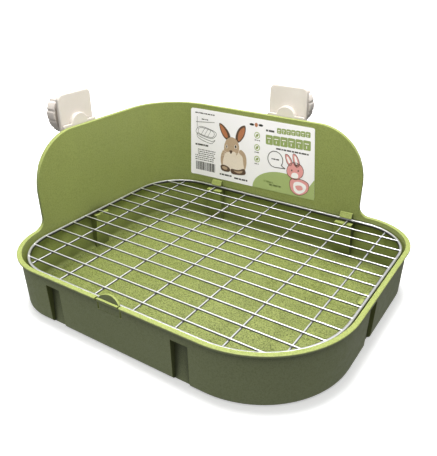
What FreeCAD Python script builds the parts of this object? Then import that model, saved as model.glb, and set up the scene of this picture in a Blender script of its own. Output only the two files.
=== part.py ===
"""Rabbit litter tray with a removable wire grid and two clamps that hang it on a cage's wires.

Frame: origin at the centre of the tray's base, +X along the length, +Y to the tall back wall,
+Z up. Millimetres. Every length comes from the Sizes spreadsheet.
"""
import FreeCAD, Part
import math
import os

import Sketcher

DRIVING_SIZES = [
    # alias, value, meaning
    ("base_length", 348.0, "tray base, along X"),
    ("base_width", 284.0, "tray base, along Y"),
    ("corner_back_left", 57.0, "base corner radius"),
    ("corner_back_right", 55.0, "base corner radius"),
    ("corner_front_right", 93.0, "base corner radius, the roundest corner"),
    ("corner_front_left", 61.0, "base corner radius"),
    ("draft", 2.0, "lean of every moulded wall, in degrees"),
    ("wall", 2.0, "wall thickness"),
    ("floor", 2.5, "floor thickness"),
    ("foot_round", 4.0, "radius where the floor meets the walls, outside"),
    ("floor_round", 6.0, "radius where the floor meets the walls, inside"),
    ("rim_height", 57.0, "top of the low rim"),
    ("tall_height", 156.0, "top of the back and left walls"),
    ("shoulder", 60.0, "radius where a tall wall turns down"),
    ("throat", 12.0, "radius where a tall wall meets the low rim"),
    ("back_wall_end", 105.0, "X where the back wall drops to the rim"),
    ("left_wall_end", 77.6, "distance of the left wall's drop, in front of the centre"),
    ("lip", 3.0, "how far the rim lip stands out"),
    ("lip_depth", 2.5, "height of the lip's edge"),
    ("lip_steep", 1.0, "how far the lip stands out where a tall wall drops"),
    ("lip_taper_above", 13.0, "length over which it narrows, on the tall side"),
    ("lip_taper_below", 9.5, "length over which it widens again, on the low side"),
    ("lip_round", 0.8, "radius along the lip's outer edges"),
    ("rim_round", 0.6, "radius along the rim's inner edge"),
    ("grid_height", 50.0, "middle plane of the wire grid"),
    ("frame_wire", 4.0, "diameter of the grid's frame wire"),
    ("mesh_wire", 2.0, "diameter of the long and cross wires"),
    ("frame_half_length", 169.4, "frame wire's centre line, along X"),
    ("frame_back", 139.2, "frame wire's centre line at the back"),
    ("frame_front", 136.5, "frame wire's centre line at the front, in front of the centre"),
    ("frame_corner_back_left", 58.0, "frame corner radius"),
    ("frame_corner_back_right", 51.0, "frame corner radius"),
    ("frame_corner_front_right", 90.0, "frame corner radius"),
    ("frame_corner_front_left", 58.0, "frame corner radius"),
    ("long_pitch", 20.0, "spacing of the long wires"),
    ("long_first", 117.4, "Y of the rearmost long wire"),
    ("cross_pitch", 46.3, "spacing of the cross wires"),
    ("cross_first", 136.9, "distance of the first cross wire, left of the centre"),
    ("weld_bite", 1.2, "how deep a wire's end is welded into the frame wire"),
    ("weld_sink", 0.02, "how deep a long wire sinks into a cross wire"),
    ("boss_width", 21.0, "width of a boss that carries the grid"),
    ("boss_gap", 0.3, "clearance between a boss and the frame wire"),
    ("boss_depth", 10.6, "boss depth at its ledge"),
    ("boss_foot", 3.0, "boss depth at the floor"),
    ("recess_width", 18.0, "width of the hollow behind a boss"),
    ("recess_top", 44.5, "top of that hollow"),
    ("recess_depth", 7.0, "its depth at the top"),
    ("recess_foot", 3.0, "its depth at the base"),
    ("tab_width", 14.6, "width of a snap tab over the frame wire"),
    ("tab_gap", 0.6, "clearance between a tab and the frame wire"),
    ("tab_height", 5.7, "height of a tab"),
    ("tab_depth", 4.1, "how far a tab's lower edge stands in from the wall"),
    ("tab_tip", 1.2, "how far its upper edge stands in"),
    ("latch_centre", 17.3, "distance of the latch, left of the centre"),
    ("latch_width", 25.0, "width of the latch tongue"),
    ("latch_slit", 1.7, "slit each side of the tongue"),
    ("latch_root", 44.0, "height of the tongue's root"),
    ("latch_root_gap", 0.3, "clearance at the root"),
    ("latch_lip", 2.4, "how far the tongue's lip stands out"),
    ("thumb_height", 5.2, "height of the half-moon thumb tab above the rim"),
    ("thumb_lean", 2.4, "how far its top leans in"),
    ("nose_width", 12.0, "width of the nose that holds the frame wire down"),
    ("nose_reach", 3.1, "how far the nose stands in from the wall"),
    ("nose_height", 1.8, "height of the nose"),
    ("label_left", 131.5, "label's left edge, left of the centre"),
    ("label_right", 45.5, "label's right edge, halfway up"),
    ("label_splay", 4.0, "lean of the label's right edge, each way"),
    ("label_bottom", 60.5, "label's lower left corner"),
    ("label_bottom_right", 63.0, "label's lower right corner"),
    ("label_top", 150.0, "label's upper edge"),
    ("label_corner", 2.5, "label's corner radius"),
    ("label_film", 0.3, "label's thickness"),
    ("plate_side", 49.0, "clamp plate's side"),
    ("plate_corner", 7.0, "clamp plate's corner radius"),
    ("plate_centre", 167.0, "height of the clamp plate's centre"),
    ("plate_front", 5.5, "plate's front face, out from the lip"),
    ("plate_thickness", 5.0, "clamp plate's thickness"),
    ("hub_diameter", 24.6, "round hub between plate and wall"),
    ("hub_drop", 11.2, "how far the hub's centre is below the plate's"),
    ("hub_front", 0.8, "hub's front face, out from the lip"),
    ("hanger_front", 1.2, "hanger tongue's front face, out from the lip"),
    ("hanger_thickness", 2.5, "hanger tongue's thickness"),
    ("hanger_top", 158.0, "hanger tongue's top"),
    ("hanger_foot", 123.3, "hanger tongue's lower end"),
    ("socket_top", 141.0, "top of the socket that holds the hanger"),
    ("socket_base", 121.0, "underside of the socket"),
    ("socket_wall", 2.0, "socket's wall"),
    ("socket_gap", 0.3, "clearance round the hanger in its socket"),
    ("stud_diameter", 12.0, "clamp's threaded stud"),
    ("stud_end", 31.3, "stud's end, out from the lip"),
    ("bore_gap", 0.05, "radial clearance of washer and knob on the stud"),
    ("washer_front", 12.0, "washer's front face, out from the lip"),
    ("washer_diameter", 38.0, "pressure washer"),
    ("washer_thickness", 2.0, "pressure washer"),
    ("knob_front", 14.3, "knob's front face, out from the lip"),
    ("knob_diameter", 50.0, "fluted knob"),
    ("knob_thickness", 13.0, "fluted knob"),
    ("flute_diameter", 4.0, "finger grooves round the knob"),
    ("flute_inset", 0.9, "how far a groove's centre is outside the knob's edge"),
]
LONG_WIRES = 13
CROSS_WIRES = 7
KNOB_FLUTES = 14

# Where the bosses stand: the wall, and the distance along it in that wall's own direction.
BOSSES = [
    ("back", 89.5),
    ("back", -91.5),
    ("left", 0.0),
    ("front", -91.3),
    ("front", 58.9),
    ("right", -3.0),
]
# Yaw of each wall, in degrees. In a wall's own directions x runs along it, y is up and z is out.
WALL_YAW = {"back": 0, "left": 90, "front": 180, "right": 270}
FAR = 400.0  # beyond every face of the tray

doc = FreeCAD.newDocument("litter_tray")
sheet = doc.addObject("Spreadsheet::Sheet", "Sizes")
for row, (alias, value, meaning) in enumerate(DRIVING_SIZES, start=1):
    sheet.set(f"A{row}", meaning)
    sheet.set(f"B{row}", str(value))
    sheet.setAlias(f"B{row}", alias)
doc.recompute()
ALIASES = [alias for alias, value, meaning in DRIVING_SIZES]
DRAFT = math.radians(sheet.get("draft"))


def formula(text):
    """Text with each bare alias written as a reference to the Sizes sheet."""
    words = []
    word = ""
    for letter in text + " ":
        if letter.isalnum() or letter == "_":
            word += letter
            continue
        words.append("Sizes." + word if word in ALIASES else word)
        words.append(letter)
        word = ""
    return "".join(words).strip()


def measure(text):
    """Value of a formula, as a number."""
    return float(sheet.evalExpression(formula(str(text))))


def bind(feature, **formulas):
    """Bind properties of a feature to formulas over the Sizes sheet."""
    for name, text in formulas.items():
        feature.setExpression(name, formula(str(text)))
    return feature


def wall_half(wall):
    """Half the base across the pair of walls that this wall belongs to."""
    return "base_width / 2" if wall in ("back", "front") else "base_length / 2"


def wall_place(wall, along=0.0, up=0.0, out=0.0):
    """Placement in a wall's own directions: along it, up and out, from the tray's origin."""
    upright = FreeCAD.Placement(FreeCAD.Vector(), FreeCAD.Rotation(FreeCAD.Vector(0, 1, 1), 180))
    turn = FreeCAD.Placement(
        FreeCAD.Vector(), FreeCAD.Rotation(FreeCAD.Vector(0, 0, 1), WALL_YAW[wall])
    )
    shift = FreeCAD.Placement(FreeCAD.Vector(along, up, out), FreeCAD.Rotation())
    return turn.multiply(upright).multiply(shift)


# ---------------------------------------------------------------- sketches


def draw_outline(sketch, corners):
    """Closed outline with level and upright sides, its corners rounded.

    Each corner is (x, y, radius), three formulas. A radius of "0" leaves the corner sharp.
    """
    points = [FreeCAD.Vector(measure(x), measure(y), 0) for x, y, radius in corners]
    radii = [measure(radius) for x, y, radius in corners]
    count = len(corners)
    towards = []
    for number in range(count):
        side = points[(number + 1) % count] - points[number]
        towards.append(side.normalize())
    sides = []
    for number in range(count):
        following = (number + 1) % count
        start = points[number] + towards[number] * radii[number]
        end = points[following] - towards[number] * radii[following]
        sides.append(sketch.addGeometry(Part.LineSegment(start, end)))
    for number in range(count):
        before = sides[number - 1]
        after = sides[number]
        if radii[number] == 0:
            sketch.addConstraint(Sketcher.Constraint("Coincident", before, 2, after, 1))
            continue
        arrive = towards[number - 1]
        leave = towards[number]
        centre = points[number] + (leave - arrive) * radii[number]
        left_turn = arrive.x * leave.y - arrive.y * leave.x > 0
        first, last = (-arrive, leave) if left_turn else (leave, -arrive)
        first_point = points[number] + first * radii[number]
        last_point = points[number] + last * radii[number]
        begin = math.atan2(first_point.y - centre.y, first_point.x - centre.x)
        finish = math.atan2(last_point.y - centre.y, last_point.x - centre.x)
        circle = Part.Circle(centre, FreeCAD.Vector(0, 0, 1), radii[number])
        arc = sketch.addGeometry(Part.ArcOfCircle(circle, begin, finish))
        arc_in, arc_out = (1, 2) if left_turn else (2, 1)
        sketch.addConstraint(Sketcher.Constraint("Tangent", before, 2, arc, arc_in))
        sketch.addConstraint(Sketcher.Constraint("Tangent", after, 1, arc, arc_out))
        bind_constraint(sketch, "Radius", (arc,), f"radius_{number}", corners[number][2])
    for number in range(count):
        level = abs(towards[number].y) < 0.5
        kind = "Horizontal" if level else "Vertical"
        sketch.addConstraint(Sketcher.Constraint(kind, sides[number]))
        axis = 1 if level else 0
        bind_offset(sketch, sides[number], 1, axis, f"side_{number}", corners[number][axis])


def bind_constraint(sketch, kind, elements, name, text):
    """Add a sized constraint, name it and bind it to a formula."""
    index = sketch.addConstraint(Sketcher.Constraint(kind, *elements, measure(text)))
    sketch.renameConstraint(index, name)
    sketch.setExpression("Constraints." + name, formula(text))


def bind_offset(sketch, element, end, axis, name, text):
    """Bind one coordinate of a point, measured from the origin so that it is never negative."""
    kind = ("DistanceX", "DistanceY")[axis]
    if measure(text) < 0:
        bind_constraint(sketch, kind, (element, end, -1, 1), name, f"-({text})")
    else:
        bind_constraint(sketch, kind, (-1, 1, element, end), name, text)


def draw_circle(sketch, name, x, y, diameter):
    """Circle at a bound centre with a bound diameter."""
    centre = FreeCAD.Vector(measure(x), measure(y), 0)
    radius = measure(diameter) / 2
    circle = sketch.addGeometry(Part.Circle(centre, FreeCAD.Vector(0, 0, 1), radius))
    bind_constraint(sketch, "Diameter", (circle,), name + "_size", diameter)
    for axis, text in enumerate((x, y)):
        if measure(text) == 0:
            other = 1 - axis
            sketch.addConstraint(Sketcher.Constraint("PointOnObject", circle, 3, -1 - other))
        else:
            bind_offset(sketch, circle, 3, axis, f"{name}_{'xy'[axis]}", text)


def draw_polygon(sketch, corners):
    """Closed polygon through corners given as pairs of formulas."""
    points = [FreeCAD.Vector(measure(x), measure(y), 0) for x, y in corners]
    count = len(points)
    sides = [
        sketch.addGeometry(Part.LineSegment(points[number], points[(number + 1) % count]))
        for number in range(count)
    ]
    for number in range(count):
        sketch.addConstraint(Sketcher.Constraint("Coincident", sides[number - 1], 2, sides[number], 1))
        for axis in (0, 1):
            name = f"corner_{number}_{'xy'[axis]}"
            bind_offset(sketch, sides[number], 1, axis, name, corners[number][axis])


def free_sketch(name, rotation=None, height="0"):
    """Sketch outside any body, at a height above the base."""
    sketch = doc.addObject("Sketcher::SketchObject", name)
    turn = rotation or FreeCAD.Rotation()
    sketch.Placement = FreeCAD.Placement(FreeCAD.Vector(0, 0, measure(height)), turn)
    return sketch


def body_sketch(body, name, plane="XY_Plane", offset="0"):
    """Sketch on one of a body's own origin planes, moved along the plane's normal."""
    sketch = body.newObject("Sketcher::SketchObject", name)
    support = next(item for item in body.Origin.OriginFeatures if item.Role == plane)
    sketch.AttachmentSupport = [(support, "")]
    sketch.MapMode = "FlatFace"
    sketch.AttachmentOffset = FreeCAD.Placement(
        FreeCAD.Vector(0, 0, measure(offset)), FreeCAD.Rotation()
    )
    sketch.setExpression("AttachmentOffset.Base.z", formula(offset))
    return sketch


# ---------------------------------------------------------------- features


def new_body(label):
    """Body of one sub-part."""
    body = doc.addObject("PartDesign::Body", label)
    body.Label = label
    return body


def pad(body, name, sketch, length, both_ways=False):
    """Grow a sketch's outline along its own normal, or half the length each way."""
    feature = body.newObject("PartDesign::Pad", name)
    feature.Profile = sketch
    feature.SideType = "Symmetric" if both_ways else "One side"
    return bind(feature, Length=length)


def pocket(body, name, sketch, length):
    """Cut a sketch's outline along its own normal."""
    feature = body.newObject("PartDesign::Pocket", name)
    feature.Profile = sketch
    feature.Reversed = True
    return bind(feature, Length=length)


def join(name, *shapes):
    feature = doc.addObject("Part::MultiFuse", name)
    feature.Shapes = list(shapes)
    return feature


def overlap(name, *shapes):
    feature = doc.addObject("Part::MultiCommon", name)
    feature.Shapes = list(shapes)
    return feature


def remove(name, base, tool):
    feature = doc.addObject("Part::Cut", name)
    feature.Base = base
    feature.Tool = tool
    return feature


def rounded_edges(name, base, radius, wanted):
    """Part::Fillet on the edges of base for which wanted(edge) is true."""
    doc.recompute()
    size = measure(radius)
    numbers = [n for n, edge in enumerate(base.Shape.Edges, start=1) if wanted(edge)]
    feature = doc.addObject("Part::Fillet", name)
    feature.Base = base
    feature.Edges = [(number, size, size) for number in numbers]
    return feature


def moulded(name, offset, base_height="0", top_height="tall_height"):
    """Solid of the tray's outline, grown by offset, whose walls lean out by the draft."""
    lean = f"({base_height}) * tan(draft * 1 deg)"
    half_x = f"base_length / 2 + ({offset}) + {lean}"
    half_y = f"base_width / 2 + ({offset}) + {lean}"
    sketch = free_sketch(name + "_outline", height=base_height)
    draw_outline(
        sketch,
        [
            (f"-({half_x})", f"-({half_y})", f"corner_front_left + ({offset}) + {lean}"),
            (half_x, f"-({half_y})", f"corner_front_right + ({offset}) + {lean}"),
            (half_x, half_y, f"corner_back_right + ({offset}) + {lean}"),
            (f"-({half_x})", half_y, f"corner_back_left + ({offset}) + {lean}"),
        ],
    )
    solid = doc.addObject("Part::Extrusion", name)
    solid.Base = sketch
    solid.DirMode = "Normal"
    solid.Solid = True
    return bind(solid, LengthFwd=f"{top_height} - ({base_height})", TaperAngle="draft")


def drop_profile(name, rotation, end, inset):
    """Slab over the whole tray above the line that a tall wall's top follows.

    The line runs level at the tall height, turns down over the shoulder, drops, and turns out
    through the throat to the low rim. inset moves the line down and back along its normal.
    """
    sketch = free_sketch(name + "_line", rotation)
    top = f"tall_height - ({inset})"
    low = f"rim_height - ({inset})"
    drop = f"{end} - ({inset})"
    far = str(FAR)
    draw_outline(
        sketch,
        [
            ("-" + far, top, "0"),
            (drop, top, f"shoulder - ({inset})"),
            (drop, low, f"throat + ({inset})"),
            (far, low, "0"),
            (far, far, "0"),
            ("-" + far, far, "0"),
        ],
    )
    slab = doc.addObject("Part::Extrusion", name)
    slab.Base = sketch
    slab.DirMode = "Normal"
    slab.Solid = True
    slab.Symmetric = True
    slab.LengthFwd = 2 * FAR
    return slab


def wall_block(name, wall, along, width, low, high, inner, outer):
    """Block against a wall. inner and outer are its faces, each (at the foot, at the top)."""
    block = doc.addObject("Part::Wedge", name)
    bind(
        block,
        Xmin=f"-({width}) / 2", Xmax=f"({width}) / 2", X2min=f"-({width}) / 2", X2max=f"({width}) / 2",
        Ymin=low, Ymax=high, Zmin=inner[0], Zmax=outer[0], Z2min=inner[1], Z2max=outer[1],
    )  # fmt: skip
    block.Placement = wall_place(wall, along=along)
    return block


def lip_notch(name, wall, end, tall_side):
    """Shallow V, seen from above, that narrows the lip where a tall wall drops to the rim.

    end is where the wall drops, along it; tall_side is the direction back to the tall part.
    """
    full = "base_width / 2 + lip" if wall == "back" else "base_length / 2 + lip"
    clear = f"{full} + 2 * lip"
    above = f"{end} + ({tall_side}) * lip_taper_above"
    below = f"{end} - ({tall_side}) * lip_taper_below"
    sketch = free_sketch(name + "_outline")
    sketch.Placement = wall_place(wall).multiply(
        FreeCAD.Placement(FreeCAD.Vector(), FreeCAD.Rotation(FreeCAD.Vector(1, 0, 0), 90))
    )
    draw_polygon(
        sketch,
        [(below, full), (below, clear), (above, clear), (above, full), (end, f"{full} - lip + lip_steep")],
    )
    notch = doc.addObject("Part::Extrusion", name)
    notch.Base = sketch
    notch.DirMode = "Custom"
    notch.Dir = wall_place(wall).Rotation.multVec(FreeCAD.Vector(0, 1, math.tan(DRAFT)))
    notch.Solid = True
    return bind(notch, LengthFwd="tall_height / cos(draft * 1 deg) + 1")


def outline_distance(point):
    """How far a point is outside the tray's outer face at the point's own height."""
    lean = point.z * math.tan(DRAFT)
    across = "right" if point.x > 0 else "left"
    depth = "back" if point.y > 0 else "front"
    radius = measure(f"corner_{depth}_{across}") + lean
    past_x = abs(point.x) - (measure("base_length / 2") + lean - radius)
    past_y = abs(point.y) - (measure("base_width / 2") + lean - radius)
    if past_x > 0 and past_y > 0:
        return math.hypot(past_x, past_y) - radius
    return max(past_x, past_y) - radius


def is_rim_edge(edge, offset):
    """True if a whole edge runs along the rim, at that offset from the tray's outer face."""
    span = edge.LastParameter - edge.FirstParameter
    points = [edge.valueAt(edge.FirstParameter + span * step / 8) for step in range(1, 8)]
    slack = 0.01
    lowest = measure("rim_height - lip_depth") - slack
    across = edge.Length < 1.5 * measure("lip_depth")
    return not across and all(
        point.z > lowest and abs(outline_distance(point) - measure(offset)) < slack
        for point in points
    )


def wall_face(wall, height, thickness="0"):
    """Distance of a wall's outer face from the origin at a height, less a thickness."""
    return f"{wall_half(wall)} + ({height}) * tan(draft * 1 deg) - ({thickness})"


# ---------------------------------------------------------------- the tray


def make_tray():
    """One moulding: pan, tall walls, lip, bosses, snap tabs and clamp sockets."""
    outer = moulded("outer_form", "0")
    outer_round = rounded_edges(
        "outer_rounded", outer, "foot_round", lambda edge: edge.BoundBox.ZMax < 0.001
    )
    lip_form = moulded("lip_form", "lip")
    cavity = moulded("cavity_form", "-wall", "floor", "tall_height")
    floor_height = measure("floor")
    cavity_round = rounded_edges(
        "cavity_rounded", cavity, "floor_round", lambda edge: edge.BoundBox.ZMax < floor_height + 0.001
    )
    back_turn = FreeCAD.Rotation(FreeCAD.Vector(1, 0, 0), 90)
    left_turn = FreeCAD.Rotation(
        FreeCAD.Vector(0, -1, 0), FreeCAD.Vector(0, 0, 1), FreeCAD.Vector(-1, 0, 0), "ZXY"
    )
    lines = {"back": (back_turn, "back_wall_end"), "left": (left_turn, "left_wall_end")}
    open_air = join(
        "open_air", *[drop_profile(wall + "_air", turn, end, "0") for wall, (turn, end) in lines.items()]
    )
    lip_zone = join(
        "lip_zone",
        *[drop_profile(wall + "_lip_zone", turn, end, "lip_depth") for wall, (turn, end) in lines.items()],
    )
    notches = join(
        "lip_notches",
        lip_notch("back_lip_notch", "back", "-back_wall_end", 1),
        lip_notch("left_lip_notch", "left", "left_wall_end", -1),
    )
    lip = remove("lip_band", overlap("lip_full", lip_form, lip_zone), notches)
    full = join("full_form", outer_round, lip)
    shell = remove("shell", remove("hollow_form", full, cavity_round), open_air)

    bosses = []
    recesses = []
    for number, (wall, along) in enumerate(BOSSES, start=1):
        ledge = "grid_height - frame_wire / 2 - boss_gap"
        bosses.append(
            wall_block(
                f"boss_{number}", wall, along, "boss_width", "floor / 2", ledge,
                (wall_face(wall, "0", "wall + boss_foot"), wall_face(wall, ledge, "wall + boss_depth")),
                (wall_face(wall, "floor / 2", "wall / 2"), wall_face(wall, ledge, "wall / 2")),
            )
        )  # fmt: skip
        recesses.append(
            wall_block(
                f"recess_{number}", wall, along, "recess_width", "0", "recess_top",
                (wall_face(wall, "0", "recess_foot"), wall_face(wall, "recess_top", "recess_depth")),
                (wall_face(wall, "0", "-lip"), wall_face(wall, "recess_top", "-lip")),
            )
        )  # fmt: skip
    tab_base = "grid_height + frame_wire / 2 + tab_gap"
    tabs = [
        wall_block(
            f"tab_{number}", wall, along, "tab_width", tab_base, f"{tab_base} + tab_height",
            (wall_face(wall, tab_base, "wall + tab_depth"), wall_face(wall, tab_base, "wall + tab_tip")),
            (wall_face(wall, tab_base, "wall / 2"), wall_face(wall, tab_base, "wall / 2")),
        )
        for number, (wall, along) in enumerate(BOSSES, start=1)
        if wall == "back"
    ]  # fmt: skip

    sockets = []
    pockets = []
    for wall in ("back", "left"):
        lip_face = wall_face(wall, "tall_height", "-lip")
        middle = "(socket_base + socket_top) / 2"
        hanger_back = f"{lip_face} + hanger_front + hanger_thickness + socket_gap"
        block_out = f"{hanger_back} + socket_wall"
        block_in = wall_face(wall, middle, "wall / 2")
        pocket_in = f"{lip_face} + hanger_front - socket_gap"
        sockets.append(
            wall_block(
                wall + "_socket", wall, 0, "plate_side + 2 * socket_gap + 2 * socket_wall",
                "socket_base", "socket_top", (block_in, block_in), (block_out, block_out),
            )
        )  # fmt: skip
        pockets.append(
            wall_block(
                wall + "_socket_pocket", wall, 0, "plate_side + 2 * socket_gap",
                "socket_base + socket_wall", "socket_top + 1",
                (pocket_in, pocket_in), (hanger_back, hanger_back),
            )
        )  # fmt: skip
    latch_slot = wall_block(
        "latch_slot", "front", -measure("latch_centre"), "latch_width + 2 * latch_slit",
        "latch_root", "rim_height + 1",
        (wall_face("front", "rim_height", "wall + lip"), wall_face("front", "rim_height", "wall + lip")),
        (wall_face("front", "rim_height", "-2 * lip"), wall_face("front", "rim_height", "-2 * lip")),
    )  # fmt: skip
    added = join("tray_with_bosses", shell, *bosses, *tabs, *sockets)
    cut = remove("tray_sharp", added, join("tray_hollows", *recesses, *pockets, latch_slot))
    lip_rounded = rounded_edges(
        "tray_lip_rounded", cut, "lip_round", lambda edge: is_rim_edge(edge, "lip")
    )
    tray = rounded_edges(
        "tray_body", lip_rounded, "rim_round", lambda edge: is_rim_edge(edge, "-wall")
    )
    tray.Label = "tray_body"
    return tray


def make_latch():
    """Tongue cut free of the front wall by two slits, with its half-moon thumb tab and nose.

    In the front wall's own directions: x along, y up, z out.
    """
    body = new_body("front_latch")
    root = "latch_root + latch_root_gap"
    lip_foot = "rim_height - lip_depth"
    face = wall_face("front", "rim_height")
    side = body_sketch(body, "tongue_side", "YZ_Plane")
    draw_polygon(
        side,
        [
            (root, wall_face("front", root, "wall")),
            (root, wall_face("front", root)),
            (lip_foot, wall_face("front", lip_foot)),
            (lip_foot, f"{face} + latch_lip"),
            ("rim_height", f"{face} + latch_lip"),
            ("rim_height", face),
            ("rim_height + thumb_height", f"{face} - thumb_lean"),
            ("rim_height + thumb_height", f"{face} - thumb_lean - wall"),
            ("rim_height", wall_face("front", "rim_height", "wall")),
        ],
    )
    pad(body, "tongue", side, "latch_width", both_ways=True)
    above = body_sketch(body, "thumb_outline")
    draw_thumb_cut(above)
    pocket(body, "thumb_shape", above, "2 * base_width")
    nose_side = body_sketch(body, "nose_side", "YZ_Plane")
    low = "grid_height + frame_wire / 2 + boss_gap"
    inner = wall_face("front", low, "wall")
    draw_polygon(
        nose_side,
        [
            (low, f"{inner} + wall / 2"),
            (f"{low} + 2 * nose_height", f"{inner} + wall / 2"),
            (f"{low} + 2 * nose_height", inner),
            (f"{low} + nose_height / 2", f"{inner} - nose_reach"),
            (low, f"{inner} - nose_reach"),
        ],
    )
    pad(body, "nose", nose_side, "nose_width", both_ways=True)
    body.Placement = wall_place("front", along=-measure("latch_centre"))
    return body


def draw_thumb_cut(sketch):
    """Everything above the half-moon: its arc spans the tongue's width at the rim's height."""
    half = measure("latch_width") / 2
    rim = measure("rim_height")
    rise = measure("thumb_height")
    radius = (half**2 + rise**2) / (2 * rise)
    centre = FreeCAD.Vector(0, rim + rise - radius, 0)
    sweep = math.asin(half / radius)
    circle = Part.Circle(centre, FreeCAD.Vector(0, 0, 1), radius)
    arc = sketch.addGeometry(Part.ArcOfCircle(circle, math.pi / 2 - sweep, math.pi / 2 + sweep))
    corners = [(-half, rim), (-2 * half, rim), (-2 * half, 2 * rim), (2 * half, 2 * rim), (2 * half, rim)]
    corners.append((half, rim))
    points = [FreeCAD.Vector(x, y, 0) for x, y in corners]
    sides = [sketch.addGeometry(Part.LineSegment(a, b)) for a, b in zip(points, points[1:])]
    for before, after in zip(sides, sides[1:]):
        sketch.addConstraint(Sketcher.Constraint("Coincident", before, 2, after, 1))
    sketch.addConstraint(Sketcher.Constraint("Coincident", arc, 2, sides[0], 1))
    sketch.addConstraint(Sketcher.Constraint("Coincident", sides[-1], 2, arc, 1))
    for number in (0, 2, 4):
        sketch.addConstraint(Sketcher.Constraint("Horizontal", sides[number]))
    for number in (1, 3):
        sketch.addConstraint(Sketcher.Constraint("Vertical", sides[number]))
    sketch.addConstraint(Sketcher.Constraint("PointOnObject", arc, 3, -2))
    bind_offset(sketch, sides[0], 1, 1, "rim_line", "rim_height")
    bind_offset(sketch, sides[-1], 1, 1, "rim_line_right", "rim_height")
    bind_offset(sketch, sides[0], 1, 0, "left_end", "-latch_width / 2")
    bind_offset(sketch, sides[1], 1, 0, "left_margin", "-latch_width")
    bind_offset(sketch, sides[3], 1, 0, "right_margin", "latch_width")
    bind_offset(sketch, sides[2], 1, 1, "top_margin", "2 * rim_height")
    size = "(pow(latch_width / 2; 2) + pow(thumb_height; 2)) / (2 * thumb_height)"
    bind_constraint(sketch, "Radius", (arc,), "thumb_arc", size)


def make_label():
    """Printed film on the inside of the back wall; its left end follows the corner."""
    wall_side = moulded("label_back", "-wall")
    film_side = moulded("label_front", "-wall - label_film")
    film = remove("label_skin", wall_side, film_side)
    sketch = free_sketch("label_outline", FreeCAD.Rotation(FreeCAD.Vector(1, 0, 0), 90))
    draw_polygon(
        sketch,
        [
            ("-label_left", "label_bottom"),
            ("label_right + label_splay", "label_bottom_right"),
            ("label_right - label_splay", "label_top"),
            ("-label_left", "label_top"),
        ],
    )
    window = doc.addObject("Part::Extrusion", "label_window")
    window.Base = sketch
    window.DirMode = "Normal"
    window.Solid = True
    window.Reversed = True
    bind(window, LengthFwd="base_width")
    width = measure("base_width")
    frame = rounded_edges(
        "label_window_rounded", window, "label_corner", lambda edge: edge.BoundBox.YLength > 0.99 * width
    )
    label = overlap("wall_label", film, frame)
    label.Label = "wall_label"
    return label


# ---------------------------------------------------------------- the wire grid


def make_frame_wire():
    """Closed ring of thick wire, bent to the tray's outline."""
    body = new_body("grid_frame_wire")
    path = body_sketch(body, "frame_path", "XY_Plane", "grid_height")
    half = "frame_half_length"
    draw_outline(
        path,
        [
            ("-" + half, "-frame_front", "frame_corner_front_left"),
            (half, "-frame_front", "frame_corner_front_right"),
            (half, "frame_back", "frame_corner_back_right"),
            ("-" + half, "frame_back", "frame_corner_back_left"),
        ],
    )
    section = body_sketch(body, "frame_section", "XZ_Plane")
    draw_circle(section, "wire", half, "grid_height", "frame_wire")
    ring = body.newObject("PartDesign::AdditivePipe", "frame_ring")
    ring.Profile = section
    ring.Spine = path
    ring.Transition = "Round corner"
    return body


def frame_reach(start_corner, end_corner, low_edge, high_edge, place):
    """How far the frame's centre line reaches past its corners' centres, at one place.

    Between the corners it is the frame's half side; beside one it is that corner's arc.
    """
    for corner, edge, sign in ((start_corner, low_edge, -1), (end_corner, high_edge, 1)):
        beyond = f"({corner} - ({edge} - {sign} * ({place})))"
        if measure(beyond) > 0:
            return f"{corner} - sqrt(pow({corner}; 2) - pow({beyond}; 2))"
    return "0"


def make_wire(label, place, along_x):
    """Straight wire from frame side to frame side at one place across the grid."""
    if along_x:
        back = ("frame_front", "frame_back")
        start = frame_reach("frame_corner_front_left", "frame_corner_back_left", *back, place)
        end = frame_reach("frame_corner_front_right", "frame_corner_back_right", *back, place)
        low = f"-frame_half_length + {start}"
        high = f"frame_half_length - ({end})"
        height = "grid_height + mesh_wire / 2 - weld_sink"
        turn = FreeCAD.Rotation(FreeCAD.Vector(0, 1, 0), 90)
    else:
        sides = ("frame_half_length", "frame_half_length")
        start = frame_reach("frame_corner_front_left", "frame_corner_front_right", *sides, place)
        end = frame_reach("frame_corner_back_left", "frame_corner_back_right", *sides, place)
        low = f"-frame_front + {start}"
        high = f"frame_back - ({end})"
        height = "grid_height - mesh_wire / 2"
        turn = FreeCAD.Rotation(FreeCAD.Vector(1, 0, 0), -90)
    inset = "(frame_wire / 2 - weld_bite)"
    wire = doc.addObject("Part::Cylinder", label)
    wire.Label = label
    bind(wire, Radius="mesh_wire / 2", Height=f"{high} - ({low}) - 2 * {inset}")
    begin = measure(f"{low} + {inset}")
    across = measure(place)
    base = (begin, across, measure(height)) if along_x else (across, begin, measure(height))
    wire.Placement = FreeCAD.Placement(FreeCAD.Vector(*base), turn)
    return wire


def make_wires():
    wires = []
    for number in range(LONG_WIRES):
        place = f"long_first - {number} * long_pitch"
        wires.append(make_wire(f"long_wire_{number + 1:02d}", place, along_x=True))
    for number in range(CROSS_WIRES):
        place = f"-cross_first + {number} * cross_pitch"
        wires.append(make_wire(f"cross_wire_{number + 1:02d}", place, along_x=False))
    return wires


# ---------------------------------------------------------------- the cage clamps


def clamp_place(wall):
    """Clamp parts are drawn x along, y up, z out from the face of the wall's lip."""
    return wall_place(wall, out=measure(wall_face(wall, "tall_height", "-lip")))


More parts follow.
